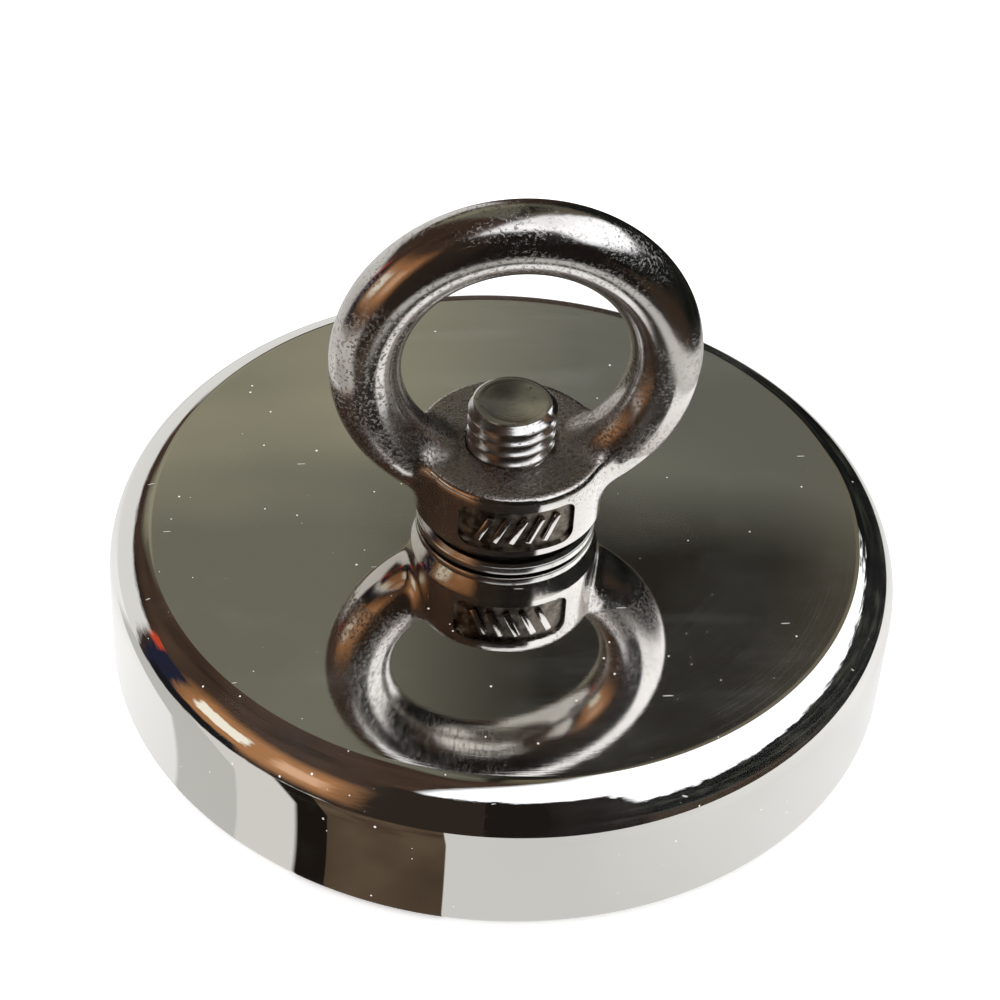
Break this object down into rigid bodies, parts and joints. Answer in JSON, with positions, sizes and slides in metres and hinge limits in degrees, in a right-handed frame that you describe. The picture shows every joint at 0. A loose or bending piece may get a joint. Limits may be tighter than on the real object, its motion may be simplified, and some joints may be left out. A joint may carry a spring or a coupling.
{
  "type": "magnet fishing magnet",
  "caption": "Round polished steel pot magnet for magnet fishing, with a countersunk bolt up through its middle and a cast eye nut that screws down on it.",
  "frame": {"origin": "centre of the pull face, where the pot's rim rests", "axes": "+Z along the bolt towards the eye; the eye's ring stands in the XZ plane, and -Y is the side with the recessed panel"},
  "size_m": [0.09, 0.09, 0.0614],
  "materials": {
    "plated_pot": "mirror polished nickel plate on steel, with fine swirl marks",
    "plated_magnet": "bright nickel plate, lightly scratched",
    "potting_epoxy": "black cast epoxy, satin",
    "bond_epoxy": "cured amber adhesive",
    "sleeve_steel": "turned stainless tube",
    "bolt_steel": "rolled stainless thread with a turned end",
    "washer_steel": "bright stainless",
    "cast_stainless": "investment cast stainless, tumbled and half polished, with fine pits"
  },
  "bodies": {
    "pot": {"pot_shell": "plated_pot", "arc_magnet_1": "plated_magnet", "arc_magnet_2": "plated_magnet", "arc_magnet_3": "plated_magnet", "arc_magnet_4": "plated_magnet", "arc_magnet_5": "plated_magnet", "arc_magnet_6": "plated_magnet", "arc_magnet_7": "plated_magnet", "arc_magnet_8": "plated_magnet", "outer_potting": "potting_epoxy", "inner_potting": "potting_epoxy", "magnet_bond_layer": "bond_epoxy", "centre_sleeve": "sleeve_steel", "countersunk_bolt": "bolt_steel"},
    "washer": {"flat_washer": "washer_steel"},
    "eye": {"eye_nut": "cast_stainless"}
  },
  "joints": [
    {"name": "washer_lift", "type": "slide", "parent": "pot", "child": "washer", "axis": [0, 0, 1], "range_m": [0, 0.0135]},
    {"name": "eye_nut_turn", "type": "hinge", "parent": "washer", "child": "eye", "pos_m": [0, 0, 0.0196], "axis": [0, 0, 1], "range_deg": [0, 3240]}
  ],
  "couplings": [
    {"joint": "washer_lift", "follows": "eye_nut_turn", "m_per_rad": 0.00023873}
  ]
}
